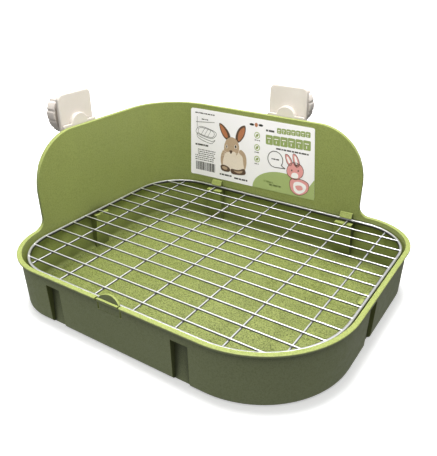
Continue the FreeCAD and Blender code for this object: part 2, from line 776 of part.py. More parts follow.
def make_clamp_plate(wall):
    """Square plate with a round hub and a hanger tongue in front and a stud behind."""
    body = new_body(wall + "_clamp_plate")
    half = "plate_side / 2"
    plate = body_sketch(body, "plate_outline", offset="plate_front")
    draw_outline(
        plate,
        [
            (f"-{half}", f"plate_centre - {half}", "plate_corner"),
            (half, f"plate_centre - {half}", "plate_corner"),
            (half, f"plate_centre + {half}", "plate_corner"),
            (f"-{half}", f"plate_centre + {half}", "plate_corner"),
        ],
    )
    pad(body, "plate", plate, "plate_thickness")
    hub = body_sketch(body, "hub_outline", offset="hub_front")
    draw_circle(hub, "hub", "0", "plate_centre - hub_drop", "hub_diameter")
    pad(body, "hub", hub, "plate_front + plate_thickness / 2 - hub_front")
    hanger = body_sketch(body, "hanger_outline", offset="hanger_front")
    draw_polygon(
        hanger,
        [
            (f"-{half}", "hanger_foot"),
            (half, "hanger_foot"),
            (half, "hanger_top"),
            (f"-{half}", "hanger_top"),
        ],
    )
    pad(body, "hanger", hanger, "hanger_thickness")
    stud = body_sketch(body, "stud_outline", offset="plate_front + plate_thickness / 2")
    draw_circle(stud, "stud", "0", "plate_centre", "stud_diameter")
    pad(body, "stud", stud, "stud_end - plate_front - plate_thickness / 2")
    body.Placement = clamp_place(wall)
    return body


def make_washer(wall):
    """Plain disc that presses the cage's wires against the plate and doesn't turn."""
    body = new_body(wall + "_clamp_washer")
    ring = body_sketch(body, "washer_outline", offset="washer_front")
    draw_circle(ring, "edge", "0", "plate_centre", "washer_diameter")
    draw_circle(ring, "bore", "0", "plate_centre", "stud_diameter + 2 * bore_gap")
    pad(body, "washer", ring, "washer_thickness")
    body.Placement = clamp_place(wall)
    return body


def make_knob(wall):
    """Round nut with grooves round its edge and a shallow dish in its outer face."""
    body = new_body(wall + "_clamp_knob")
    disc = body_sketch(body, "knob_outline")
    draw_circle(disc, "edge", "0", "0", "knob_diameter")
    pad(body, "disc", disc, "knob_thickness")
    groove = body_sketch(body, "groove_outline")
    draw_circle(groove, "groove", "0", "knob_diameter / 2 + flute_inset", "flute_diameter")
    cut = pocket(body, "groove", groove, "knob_thickness")
    doc.recompute()
    ring = body.newObject("PartDesign::PolarPattern", "grooves")
    ring.Originals = [cut]
    axis = next(item for item in body.Origin.OriginFeatures if item.Role == "Z_Axis")
    ring.Axis = (axis, [""])
    ring.Angle = 360
    ring.Occurrences = KNOB_FLUTES
    body.Tip = ring
    dish = body_sketch(body, "dish_outline", offset="knob_thickness - wall")
    draw_circle(dish, "dish", "0", "0", "knob_diameter * 2 / 3")
    pocket(body, "dish", dish, "2 * wall")
    bore = body_sketch(body, "bore_outline")
    draw_circle(bore, "bore", "0", "0", "stud_diameter + 2 * bore_gap")
    pocket(body, "bore", bore, "knob_thickness")
    place = clamp_place(wall)
    lift = FreeCAD.Placement(
        FreeCAD.Vector(0, measure("plate_centre"), measure("knob_front")), FreeCAD.Rotation()
    )
    body.Placement = place.multiply(lift)
    return body


# ---------------------------------------------------------------- build, check, export


def check_document():
    doc.recompute()
    broken = [item.Name for item in doc.Objects if {"Invalid", "Error"} & set(item.State)]
    if broken:
        raise RuntimeError("failed objects: " + ", ".join(broken))


def export(items):
    os.makedirs("parts", exist_ok=True)
    for item in items:
        shape = item.Shape
        if shape.isNull() or not shape.isValid():
            raise RuntimeError(f"{item.Label} has no valid shape")
        box = shape.BoundBox
        print(f"{item.Label:18s} solids {len(shape.Solids)} volume {shape.Volume:10.1f}", end=" ")
        print(f"box {box.XLength:.2f} {box.YLength:.2f} {box.ZLength:.2f}")
        shape.exportStep(f"parts/{item.Label}.step")


sub_parts = [make_tray(), make_latch(), make_label(), make_frame_wire(), *make_wires()]
for clamped_wall in ("left", "back"):
    sub_parts.append(make_clamp_plate(clamped_wall))
    sub_parts.append(make_washer(clamped_wall))
    sub_parts.append(make_knob(clamped_wall))
check_document()
export(sub_parts)
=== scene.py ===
import math

import bmesh
import bpy
from mathutils import Matrix, Vector


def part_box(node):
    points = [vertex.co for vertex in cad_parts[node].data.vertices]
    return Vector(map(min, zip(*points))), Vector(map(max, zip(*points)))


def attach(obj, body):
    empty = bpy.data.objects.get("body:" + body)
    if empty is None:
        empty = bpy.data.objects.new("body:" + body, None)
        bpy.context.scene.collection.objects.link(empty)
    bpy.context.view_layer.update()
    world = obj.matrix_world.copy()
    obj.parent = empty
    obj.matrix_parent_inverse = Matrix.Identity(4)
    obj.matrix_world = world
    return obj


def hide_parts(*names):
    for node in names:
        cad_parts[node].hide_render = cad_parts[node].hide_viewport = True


MM = 0.001
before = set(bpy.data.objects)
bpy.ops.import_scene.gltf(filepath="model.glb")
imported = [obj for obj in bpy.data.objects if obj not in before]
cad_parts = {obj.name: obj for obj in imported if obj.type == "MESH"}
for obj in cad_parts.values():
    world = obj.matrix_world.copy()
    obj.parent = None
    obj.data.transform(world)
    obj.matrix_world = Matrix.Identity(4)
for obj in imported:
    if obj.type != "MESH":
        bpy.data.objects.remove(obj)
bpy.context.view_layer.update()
scene = bpy.context.scene

# ---------------------------------------------------------------- wires named in the frame

LONG_WIRES = sorted(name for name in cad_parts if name.startswith("long_wire"))
CROSS_WIRES = sorted(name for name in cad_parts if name.startswith("cross_wire"))

# ---------------------------------------------------------------- material helpers


class Nodes:
    """A material's node tree, with short ways to add the nodes used here."""

    def __init__(self, name):
        self.material = bpy.data.materials.new(name)
        self.material.use_nodes = True
        self.tree = self.material.node_tree
        self.shader = self.tree.nodes["Principled BSDF"]
        self.place = self.add("ShaderNodeTexCoord").outputs["Object"]

    def add(self, kind, **values):
        """A node of a kind, with its inputs set by name."""
        node = self.tree.nodes.new(kind)
        for name, value in values.items():
            node.inputs[name.replace("_", " ")].default_value = value
        return node

    def link(self, source, target):
        """Connect an output to an input."""
        self.tree.links.new(source, target)

    def stretched(self, x, y, z):
        """Object coordinates scaled along each axis."""
        mapping = self.add("ShaderNodeMapping", Scale=(x, y, z))
        self.link(self.place, mapping.inputs["Vector"])
        return mapping.outputs["Vector"]

    def noise(self, scale, detail=3.0, rough=0.55, place=None):
        """Noise from 0 to 1, whose features are about 1 / scale metres across."""
        node = self.add("ShaderNodeTexNoise", Scale=scale, Detail=detail, Roughness=rough)
        self.link(place or self.place, node.inputs["Vector"])
        return node.outputs["Fac"]

    def ramp(self, source, low, high, start=0.35, end=0.65):
        """Number that goes from low to high while the source goes from start to end."""
        node = self.add("ShaderNodeMapRange")
        node.inputs["From Min"].default_value = start
        node.inputs["From Max"].default_value = end
        node.inputs["To Min"].default_value = low
        node.inputs["To Max"].default_value = high
        self.link(source, node.inputs["Value"])
        return node.outputs["Result"]

    def mix(self, amount, first, second):
        """Mix of two colours, each a colour or an output."""
        node = self.tree.nodes.new("ShaderNodeMix")
        node.data_type = "RGBA"
        sockets = (node.inputs[0], node.inputs[6], node.inputs[7])
        for socket, value in zip(sockets, (amount, first, second)):
            if isinstance(value, bpy.types.NodeSocket):
                self.link(value, socket)
            elif isinstance(value, tuple):
                socket.default_value = (*value, 1.0)
            else:
                socket.default_value = value
        return node.outputs[2]

    def colour(self, source):
        """Use an output as the base colour."""
        self.link(source, self.shader.inputs["Base Color"])

    def roughness(self, source):
        """Use an output as the roughness."""
        self.link(source, self.shader.inputs["Roughness"])

    def bump(self, height, distance, strength=1.0):
        """Relief whose full height is the distance."""
        node = self.add("ShaderNodeBump", Strength=strength, Distance=distance)
        self.link(height, node.inputs["Height"])
        self.link(node.outputs["Normal"], self.shader.inputs["Normal"])

    def facing(self, direction):
        """How far the surface faces along a direction, from -1 to 1."""
        geometry = self.add("ShaderNodeNewGeometry")
        dot = self.add("ShaderNodeVectorMath")
        dot.operation = "DOT_PRODUCT"
        self.link(direction, dot.inputs[0])
        self.link(geometry.outputs["Normal"], dot.inputs[1])
        return dot.outputs["Value"]

    def edge_mask(self, radius):
        """1 on faces, lower near edges that are sharper than the radius."""
        rounded = self.add("ShaderNodeBevel", Radius=radius)
        rounded.samples = 4
        return self.facing(rounded.outputs["Normal"])

    def part(self, source, axis):
        """One part of a vector: 0 for x, 1 for y, 2 for z."""
        split = self.add("ShaderNodeSeparateXYZ")
        self.link(source, split.inputs[0])
        return split.outputs[axis]

    def height(self):
        """Height of a point above the tray's foot, in metres."""
        return self.part(self.place, 2)

    def upward(self):
        """1 on level faces, 0 on upright ones, -1 on undersides."""
        return self.part(self.add("ShaderNodeNewGeometry").outputs["Normal"], 2)

    def outward(self):
        """1 on side faces turned away from the tray's middle, -1 on those turned to it."""
        unit = self.add("ShaderNodeVectorMath")
        unit.operation = "NORMALIZE"
        self.link(self.stretched(1.0, 1.0, 0.0), unit.inputs[0])
        return self.facing(unit.outputs["Vector"])

    def product(self, first, second):
        """Two outputs multiplied."""
        node = self.add("ShaderNodeMath")
        node.operation = "MULTIPLY"
        self.link(first, node.inputs[0])
        self.link(second, node.inputs[1])
        return node.outputs["Value"]

    def hollow(self, reach, own_piece=True):
        """1 in the open, lower in corners and hollows within the reach."""
        shade = self.add("ShaderNodeAmbientOcclusion", Distance=reach)
        shade.samples = 6
        shade.only_local = own_piece
        return shade.outputs["AO"]


def tray_plastic(name, painted_lean_shade):
    """Olive green polypropylene: fine moulded grain, faint flow marks, a painted highlight on the rim
    and ledges, and edges paled partly by wear and partly by painted highlight.

    Outer faces get a painted grey sheen in place of reflection. Those that lean back get a painted
    shade, as strong as the lean shade argument. Corners, hollows, recesses and slits get painted shade.
    """
    n = Nodes(name)
    upward = n.upward()
    broad = n.ramp(n.noise(9.0), 0.0, 1.0)
    tone = n.mix(broad, (0.232, 0.268, 0.074), (0.258, 0.296, 0.084))
    flow_marks = n.ramp(n.noise(60.0, 2.0, 0.5, n.stretched(1.0, 1.0, 0.08)), 0.0, 0.35)
    tone = n.mix(flow_marks, tone, (0.225, 0.262, 0.078))
    grain = n.ramp(n.noise(1500.0, 2.0, 0.6), 0.0, 0.45)
    tone = n.mix(grain, tone, (0.285, 0.325, 0.105))

    # Painted grey sheen on upright outer faces, standing in for reflection; the same outside mask steers
    # the painted shades below.
    upright = n.ramp(upward, 1.0, 0.0, 0.45, 0.75)
    outside = n.product(n.ramp(n.outward(), 0.0, 1.0, 0.2, 0.6), upright)
    tone = n.mix(outside, tone, n.mix(broad, (0.250, 0.282, 0.140), (0.272, 0.304, 0.156)))

    pebbles = n.noise(700.0, 2.0, 0.8)
    level = n.ramp(upward, 0.25, 1.0, 0.3, 0.9)
    speckle = n.product(n.ramp(pebbles, 0.0, 1.0, 0.46, 0.60), level)
    tone = n.mix(speckle, tone, (0.080, 0.100, 0.016))

    # Painted highlight: upward faces above the ledges, the rim and the ledges, are turned a paler lime.
    above_ledges = n.ramp(n.height(), 0.0, 0.45, 44 * MM, 47 * MM)
    rim = n.product(above_ledges, n.ramp(upward, 0.0, 1.0, 0.25, 0.55))
    tone = n.mix(rim, tone, (0.370, 0.425, 0.120))
    # Edges paled partly by wear and partly by painted highlight.
    worn_and_highlit = n.ramp(n.edge_mask(0.7 * MM), 0.4, 0.0, 0.80, 0.99)
    tone = n.mix(worn_and_highlit, tone, (0.40, 0.47, 0.14))
    # Painted shade: upright outer faces that lean back, such as the latch's thumb face, are darkened by
    # the lean shade amount.
    lean = n.product(n.ramp(upward, 0.0, painted_lean_shade, 0.20, 0.38), outside)
    tone = n.mix(lean, tone, (0.050, 0.060, 0.024))

    # Painted shade in corners and hollows, weaker on level faces and left off the rim.
    openness = n.hollow(28 * MM)
    shade = n.product(n.ramp(openness, 0.68, 0.0, 0.60, 0.97), n.ramp(level, 1.0, 0.35, 0.3, 1.0))
    off_rim = n.ramp(rim, 1.0, 0.0, 0.0, 0.45)
    tone = n.mix(n.product(shade, off_rim), tone, (0.082, 0.096, 0.030))
    # Painted shade darkens the outer recesses.
    painted_recess_shade = n.product(n.ramp(openness, 0.90, 0.0, 0.80, 0.99), outside)
    tone = n.mix(painted_recess_shade, tone, (0.070, 0.080, 0.040))
    # Painted shade in slits and narrow gaps, also those between separate pieces.
    painted_slit_shade = n.ramp(n.hollow(3 * MM, own_piece=False), 0.90, 0.0, 0.25, 0.60)
    n.colour(n.mix(painted_slit_shade, tone, (0.040, 0.048, 0.018)))

    n.roughness(n.ramp(n.noise(140.0), 0.36, 0.50))
    n.bump(pebbles, 0.22 * MM, 0.6)
    n.shader.inputs["Subsurface Weight"].default_value = 0.08
    n.shader.inputs["Subsurface Radius"].default_value = (2.0 * MM, 2.0 * MM, 0.8 * MM)
    return n.material


def bright_wire(name, metallic):
    """Zinc-bright drawn wire: fine drawing lines, duller patches, and painted shade on the undersides.
    """
    n = Nodes(name)
    dull = n.ramp(n.noise(90.0, 4.0), 0.0, 0.5)
    tone = n.mix(dull, (0.95, 0.95, 0.96), (0.80, 0.80, 0.82))
    # Painted shade: faces turned downward are darkened.
    under = n.ramp(n.upward(), 0.95, 0.0, 0.48, 0.90)
    n.colour(n.mix(under, tone, (0.065, 0.062, 0.080)))
    lines = n.noise(900.0, 2.0, 0.5)
    n.roughness(n.ramp(lines, 0.32, 0.44))
    n.bump(lines, 0.03 * MM, 0.4)
    n.shader.inputs["Metallic"].default_value = metallic
    return n.material


def clamp_plastic():
    """Warm off-white moulded plastic."""
    n = Nodes("clamp_plastic")
    broad = n.ramp(n.noise(40.0), 0.0, 1.0)
    tone = n.mix(broad, (0.65, 0.595, 0.535), (0.69, 0.635, 0.575))
    # Edges paled partly by wear and partly by painted highlight.
    worn_and_highlit = n.ramp(n.edge_mask(0.6 * MM), 0.5, 0.0, 0.80, 0.99)
    n.colour(n.mix(worn_and_highlit, tone, (0.76, 0.72, 0.66)))
    n.roughness(n.ramp(n.noise(300.0), 0.38, 0.52))
    n.bump(n.noise(2200.0, 2.0), 0.06 * MM, 0.4)
    n.shader.inputs["Subsurface Weight"].default_value = 0.08
    n.shader.inputs["Subsurface Radius"].default_value = (1.5 * MM, 1.2 * MM, 1.0 * MM)
    return n.material


def printed_film(name, colour, spread=0.04):
    """Printed plastic film: one ink with a fine print grain and a light gloss."""
    n = Nodes(name)
    darker = tuple(max(0.0, c * (1.0 - 3 * spread)) for c in colour)
    n.colour(n.mix(n.ramp(n.noise(2600.0, 2.0), 0.0, 1.0), colour, darker))
    n.roughness(n.ramp(n.noise(200.0), 0.30, 0.42))
    return n.material


def studio_paper(name, glow):
    """Plain pale studio paper, with a little light of its own."""
    n = Nodes(name)
    n.colour(n.mix(n.noise(30.0), (0.84, 0.84, 0.84), (0.86, 0.86, 0.86)))
    n.shader.inputs["Roughness"].default_value = 0.9
    n.shader.inputs["Specular IOR Level"].default_value = 0.0
    n.shader.inputs["Emission Color"].default_value = (1.0, 1.0, 1.0, 1.0)
    n.shader.inputs["Emission Strength"].default_value = glow
    return n.material


TRAY = tray_plastic("tray_plastic", 0.0)
# The latch's plastic is the tray plastic with painted shade on its faces that lean back.
LATCH = tray_plastic("latch_plastic_painted_shade", 0.75)
FRAME_WIRE = bright_wire("frame_wire_metal", 1.0)
MESH_WIRE = bright_wire("mesh_wire_metal", 0.84)
CLAMP = clamp_plastic()
FILM = printed_film("label_film", (0.93, 0.90, 0.92), 0.01)
INKS = {
    "black": printed_film("ink_black", (0.030, 0.028, 0.028)),
    "grey": printed_film("ink_grey", (0.090, 0.085, 0.080)),
    "green": printed_film("ink_green", (0.300, 0.375, 0.125)),
    "pale_green": printed_film("ink_pale_green", (0.400, 0.485, 0.190)),
    "tan": printed_film("ink_tan", (0.560, 0.400, 0.270), 0.10),
    "cream": printed_film("ink_cream", (0.880, 0.760, 0.640), 0.06),
    "ear": printed_film("ink_ear", (0.520, 0.200, 0.095), 0.08),
    "brown": printed_film("ink_brown", (0.120, 0.070, 0.048), 0.08),
    "pink": printed_film("ink_pink", (0.820, 0.360, 0.350)),
    "white": printed_film("ink_white", (0.930, 0.900, 0.900), 0.01),
}

# ---------------------------------------------------------------- object helpers


class Shape:
    """Points and faces of one or more closed shells."""

    def __init__(self):
        self.points = []
        self.faces = []

    def skin(self, rings, cyclic=False):
        """Faces between rings of equal length; the end rings are capped, or joined when cyclic."""
        start = len(self.points)
        count = len(rings[0])
        for ring in rings:
            self.points.extend(ring)
        spans = len(rings) if cyclic else len(rings) - 1
        for span in range(spans):
            low = start + span * count
            high = start + (span + 1) % len(rings) * count
            for corner in range(count):
                other = (corner + 1) % count
                self.faces.append((low + corner, low + other, high + other, high + corner))
        if not cyclic:
            last = start + (len(rings) - 1) * count
            self.faces.append(tuple(range(start, start + count)))
            self.faces.append(tuple(range(last, last + count)))

    def mesh(self, name, place=Matrix()):
        """Mesh of the shells, drawn in millimetres and put in a place given in metres."""
        mesh = bpy.data.meshes.new(name)
        mesh.from_pydata([place @ (Vector(point) * MM) for point in self.points], [], self.faces)
        shells = bmesh.new()
        shells.from_mesh(mesh)
        bmesh.ops.recalc_face_normals(shells, faces=shells.faces)
        shells.to_mesh(mesh)
        shells.free()
        return mesh


def show(name, mesh, material, body, smooth_below=40):
    """Object for a mesh drawn in the row frame; it rides on a body."""
    item = bpy.data.objects.new(name, mesh)
    scene.collection.objects.link(item)
    mesh.materials.append(material)
    mesh.shade_smooth()
    mesh.set_sharp_from_angle(angle=math.radians(smooth_below))
    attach(item, body)
    return item


def repaint(node, material):
    """Give a CAD node its finished material."""
    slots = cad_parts[node].material_slots
    if not slots:
        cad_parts[node].data.materials.append(material)
    for item in slots:
        item.material = material


# ---------------------------------------------------------------- studio

# Metres and degrees.
CAMERA_PLACE = (0.2790, -0.4203, 0.3311)
CAMERA_DOWN = 27.12
CAMERA_TURN = 33.15
CAMERA_LENS = 42.755
STUDIO_HALF = 12.0
FLOOR_GLOW = 0.4
BACKDROP_GLOW = 1.0
SUN_STRENGTH = 2.6
SUN_WIDTH = 20.0
SUN_FROM = (-0.12, 0.12, 1.0)
SURROUND_STRENGTH = 0.75
SURROUND_LOW = (0.31, 0.31, 0.32, 1.0)
SURROUND_HIGH = (1.0, 1.0, 1.0, 1.0)
SURROUND_TOP = 0.9

# Name, watts, width, place and target of the soft panels.
PANELS = (
    ("inner_fill", 3.0, 0.22, (0.06, -0.04, 0.55), (-0.14, 0.12, 0.11)),
    ("front_fill", 0.9, 0.5, (-0.50, -0.75, 0.16), (-0.12, -0.14, 0.0)),
    ("back_fill", 5.0, 0.6, (-0.80, 0.85, 0.55), (-0.10, 0.10, 0.16)),
)


def place_camera():
    """Camera above and to the right of the front, at the object's photographed angle."""
    data = bpy.data.cameras.new("camera")
    data.lens = CAMERA_LENS
    data.sensor_width = 36.0
    camera = bpy.data.objects.new("camera", data)
    camera.location = CAMERA_PLACE
    camera.rotation_euler = (math.radians(90 - CAMERA_DOWN), 0, math.radians(CAMERA_TURN))
    scene.collection.objects.link(camera)
    scene.camera = camera


def aim(item, place, target):
    """Put a light at a place, shining at a target."""
    item.location = place
    item.rotation_euler = (target - place).to_track_quat("-Z", "Y").to_euler()
    scene.collection.objects.link(item)


def lay_paper():
    """White floor, and a backdrop round it that lets the light through."""
    half = STUDIO_HALF
    corners = [(-half, -half), (half, -half), (half, half), (-half, half)]
    low = [(x, y, 0.0) for x, y in corners]
    high = [(x, y, half) for x, y in corners]
    around = [(side, (side + 1) % 4, (side + 1) % 4 + 4, side + 4) for side in range(4)]
    for name, points, faces, glow in (
        ("floor", low, [(0, 1, 2, 3)], FLOOR_GLOW),
        ("backdrop", [*low, *high], around, BACKDROP_GLOW),
    ):
        mesh = bpy.data.meshes.new(name)
        mesh.from_pydata(points, [], faces)
        mesh.materials.append(studio_paper(f"{name}_paper", glow))
        paper = bpy.data.objects.new(name, mesh)
        paper.visible_diffuse = False
        paper.visible_glossy = False
        paper.visible_shadow = name == "floor"
        scene.collection.objects.link(paper)


def hang_lights():
    """A broad sun overhead, and soft panels that leave no highlights of their own."""
    sun = bpy.data.lights.new("overhead", "SUN")
    sun.energy = SUN_STRENGTH
    sun.angle = math.radians(SUN_WIDTH)
    aim(bpy.data.objects.new("overhead", sun), Vector(SUN_FROM), Vector((0, 0, 0)))
    for name, watts, size, place, target in PANELS:
        panel = bpy.data.lights.new(name, "AREA")
        panel.energy = watts
        panel.size = size
        lamp = bpy.data.objects.new(name, panel)
        lamp.visible_glossy = False
        aim(lamp, Vector(place), Vector(target))


def light_surround():
    """Dim surround that brightens from the horizon up."""
    world = bpy.data.worlds.new("surround")
    scene.world = world
    world.use_nodes = True
    nodes = world.node_tree.nodes
    links = world.node_tree.links
    direction = nodes.new("ShaderNodeTexCoord")
    split = nodes.new("ShaderNodeSeparateXYZ")
    ramp = nodes.new("ShaderNodeValToRGB")
    links.new(direction.outputs["Generated"], split.inputs[0])
    links.new(split.outputs["Z"], ramp.inputs["Fac"])
    links.new(ramp.outputs["Color"], nodes["Background"].inputs["Color"])
    stops = ((0.0, SURROUND_LOW), (SURROUND_TOP, SURROUND_HIGH))
    for stop, (height, colour) in zip(ramp.color_ramp.elements, stops):
        stop.position = height
        stop.color = colour
    nodes["Background"].inputs["Strength"].default_value = SURROUND_STRENGTH
    scene.view_settings.view_transform = "Standard"


place_camera()
lay_paper()
hang_lights()
light_surround()

# ---------------------------------------------------------------- the CAD pieces

repaint("tray_body", TRAY)
repaint("front_latch", LATCH)
repaint("wall_label", FILM)
repaint("grid_frame_wire", FRAME_WIRE)
for wire in (*LONG_WIRES, *CROSS_WIRES):
    repaint(wire, MESH_WIRE)
for side in ("left", "back"):
    for piece in ("plate", "washer", "knob"):
        repaint(f"{side}_clamp_{piece}", CLAMP)

# ---------------------------------------------------------------- the cage clamps

# Local directions of a clamp: x along the wall, y up, z out from the wall's lip; millimetres.
HUB_FRONT = 0.8
HUB_CENTRE = 155.8
HUB_RADIUS = 12.3
PLATE_FRONT = 5.5
PLATE_BACK = 10.5
PLATE_CENTRE = 167.0
PLATE_HALF = 24.5
PLATE_CORNER = 7.0
HANGER_FRONT = 1.2
HANGER_BACK = 3.7
HANGER_FOOT = 123.3
HANGER_TOP = 158.0
STUD_RADIUS = 6.0
STUD_END = 31.3
THREAD_PITCH = 3.0
THREAD_DEPTH = 1.0
WASHER_FRONT = 12.0
WASHER_BACK = 14.0
WASHER_RADIUS = 19.0
KNOB_FRONT = 14.3
KNOB_BACK = 27.3
KNOB_RADIUS = 25.0
KNOB_FLUTES = 14
FLUTE_DEPTH = 0.9
FLUTE_HALF = 1.4
FLUTE_REACH = 2.2
FLUTE_FADE = 1.4
BORE_RADIUS = 6.05


def circle(radius, centre=(0.0, 0.0), count=72):
    """Points round a circle, each with its outward direction."""
    turns = [2 * math.pi * step / count for step in range(count)]
    ways = [Vector((math.cos(turn), math.sin(turn))) for turn in turns]
    return [(Vector(centre) + way * radius, way) for way in ways]


def rounded_box(half_x, low_y, high_y, corner, steps=8):
    """Points round a box with round corners, each with its outward direction."""
    outline = []
    for quarter, (x, y) in enumerate(
        ((half_x - corner, high_y - corner), (corner - half_x, high_y - corner),
         (corner - half_x, low_y + corner), (half_x - corner, low_y + corner))
    ):
        for step in range(steps + 1):
            turn = math.pi / 2 * (quarter + step / steps)
            way = Vector((math.cos(turn), math.sin(turn)))
            outline.append((Vector((x, y)) + way * corner, way))
    return outline


def level_ring(outline, inset, level):
    """An outline moved inward by the inset, at a level."""
    return [(*(point - way * inset), level) for point, way in outline]


def rounded_prism(outline, low, high, fillet, steps=5):
    """Rings of a prism whose two rims are rounded."""
    curve = []
    for step in range(steps + 1):
        turn = math.pi / 2 * step / steps
        curve.append((fillet * (1 - math.sin(turn)), fillet * (1 - math.cos(turn))))
    rings = [level_ring(outline, fillet + 0.3, low)]
    rings += [level_ring(outline, inset, low + rise) for inset, rise in curve]
    rings += [level_ring(outline, inset, high - rise) for inset, rise in reversed(curve)]
    rings.append(level_ring(outline, fillet + 0.3, high))
    return rings


def turned(profile, count=96, flute=None):
    """Rings of a ring-shaped part, from its closed profile of (radius, level)."""
    rings = []
    for radius, level in profile:
        ring = []
        for step in range(count):
            turn = 2 * math.pi * step / count
            reach = radius - (flute(turn, radius) if flute else 0.0)
            ring.append((reach * math.cos(turn), PLATE_CENTRE + reach * math.sin(turn), level))
        rings.append(ring)
    return rings


def arc(centre, radius, start, end, steps=5):
    """Points of an arc in a profile, between two angles in degrees."""
    turns = [math.radians(start + (end - start) * step / steps) for step in range(steps + 1)]
    return [(centre[0] + radius * math.cos(t), centre[1] + radius * math.sin(t)) for t in turns]


def knob_flute(turn, radius):
    """Depth of the finger grooves at an angle, fading out on the knob's rounded rims."""
    step = 2 * math.pi / KNOB_FLUTES
    away = (turn - math.pi / 2 + step / 2) % step - step / 2
    depth = FLUTE_DEPTH * max(0.0, 1 - (KNOB_RADIUS * away / FLUTE_HALF) ** 2)
    fade = (radius - KNOB_RADIUS + FLUTE_REACH) / FLUTE_FADE
    return depth * min(1.0, max(0.0, fade))


def knob_shape():
    """Round nut with finger grooves, rounded rims, and a dish and collar in its outer face."""
    rim = KNOB_RADIUS
    dish = rim * 2 / 3
    floor = KNOB_BACK - 1.8
    profile = [
        (BORE_RADIUS, KNOB_FRONT + 0.5),
        (BORE_RADIUS + 0.5, KNOB_FRONT),
        (rim - 1.7, KNOB_FRONT),
        *arc((rim - 1.4, KNOB_FRONT + 1.4), 1.4, -90, 0),
        (rim, KNOB_FRONT + 1.7),
        (rim, KNOB_BACK - 2.3),
        *arc((rim - 2.0, KNOB_BACK - 2.0), 2.0, 0, 90),
        (rim - 2.3, KNOB_BACK),
        (dish + 1.1, KNOB_BACK),
        *arc((dish + 0.8, KNOB_BACK - 0.8), 0.8, 90, 180),
        *arc((dish - 0.6, floor + 0.6), 0.6, 0, -90),
        (dish - 0.9, floor),
        (10.3, floor),
        *arc((10.0, floor + 0.4), 0.4, -90, -180),
        *arc((9.1, floor + 1.0), 0.5, 0, 90),
        (BORE_RADIUS + 0.5, floor + 1.5),
        (BORE_RADIUS, floor + 1.0),
    ]
    shape = Shape()
    shape.skin(turned(profile, KNOB_FLUTES * 14, knob_flute), cyclic=True)
    return shape


def washer_shape():
    """Pressure washer with rounded rims and a shallow groove in its front face."""
    profile = [
        (BORE_RADIUS, WASHER_FRONT + 0.3),
        (BORE_RADIUS + 0.3, WASHER_FRONT),
        (12.0, WASHER_FRONT),
        (12.4, WASHER_FRONT + 0.4),
        (14.6, WASHER_FRONT + 0.4),
        (15.0, WASHER_FRONT),
        *arc((WASHER_RADIUS - 0.7, WASHER_FRONT + 0.7), 0.7, -90, 0),
        *arc((WASHER_RADIUS - 0.7, WASHER_BACK - 0.7), 0.7, 0, 90),
        (BORE_RADIUS + 0.3, WASHER_BACK),
        (BORE_RADIUS, WASHER_BACK - 0.3),
    ]
    shape = Shape()
    shape.skin(turned(profile), cyclic=True)
    return shape


def stud_shape():
    """Threaded stud: a helix of rounded threads that fades out at the chamfered end."""
    rings = []
    low = PLATE_BACK - 1.5
    count = 40
    levels = 8 * round((STUD_END - low) / THREAD_PITCH)
    for step in range(levels + 1):
        level = low + (STUD_END - low) * step / levels
        chamfer = max(0.0, level - STUD_END + 1.2)
        ring = []
        for side in range(count):
            share = side / count
            height = 0.5 + 0.5 * math.cos(2 * math.pi * (level / THREAD_PITCH - share))
            reach = STUD_RADIUS - THREAD_DEPTH * (1 - height**0.6)
            reach = min(reach, STUD_RADIUS - chamfer)
            turn = 2 * math.pi * share
            ring.append((reach * math.cos(turn), PLATE_CENTRE + reach * math.sin(turn), level))
        rings.append(ring)
    shape = Shape()
    shape.skin(rings)
    return shape


def plate_shape():
    """Square plate with round corners and rounded rims."""
    outline = rounded_box(PLATE_HALF, PLATE_CENTRE - PLATE_HALF, PLATE_CENTRE + PLATE_HALF, PLATE_CORNER)
    shape = Shape()
    shape.skin(rounded_prism(outline, PLATE_FRONT, PLATE_BACK, 1.8))
    return shape


def hub_shape():
    """Round hub between plate and wall, with a rounded rim."""
    outline = circle(HUB_RADIUS, (0.0, HUB_CENTRE))
    rings = [level_ring(outline, 0.0, PLATE_FRONT + 0.8)]
    for inset, rise in arc((1.0, 1.0), 1.0, 180, 270):
        rings.append(level_ring(outline, inset, HUB_FRONT + rise))
    rings.append(level_ring(outline, 1.3, HUB_FRONT))
    shape = Shape()
    shape.skin(rings)
    return shape


def hanger_shape():
    """Flat tongue that hangs in the wall's socket."""
    shape = Shape()
    outline = rounded_box(PLATE_HALF, HANGER_FOOT, HANGER_TOP, 2.0)
    shape.skin(rounded_prism(outline, HANGER_FRONT, HANGER_BACK, 0.5))
    return shape


def clamp_place(side):
    """Where a clamp's local directions lie; its hub's front is the plate node's inner face."""
    low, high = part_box(f"{side}_clamp_plate")
    if side == "back":
        return Matrix.Translation((0, low.y - HUB_FRONT * MM, 0)) @ Matrix(
            ((-1, 0, 0, 0), (0, 0, 1, 0), (0, 1, 0, 0), (0, 0, 0, 1))
        )
    return Matrix.Translation((high.x + HUB_FRONT * MM, 0, 0)) @ Matrix(
        ((0, 0, -1, 0), (-1, 0, 0, 0), (0, 1, 0, 0), (0, 0, 0, 1))
    )


CLAMP_PARTS = (
    ("plate", plate_shape, "clamp"),
    ("hub", hub_shape, "clamp"),
    ("hanger", hanger_shape, "clamp"),
    ("stud", stud_shape, "clamp"),
    ("washer", washer_shape, "washer"),
    ("knob", knob_shape, "knob"),
)
for side in ("left", "back"):
    place = clamp_place(side)
    for part, shape_of, body in CLAMP_PARTS:
        name = f"{side}_moulded_{part}"
        item = show(name, shape_of().mesh(name, place), CLAMP, f"{side}_{body}")
        if part in ("plate", "washer", "knob"):
            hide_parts(f"{side}_clamp_{part}")

# ---------------------------------------------------------------- welds on the grid


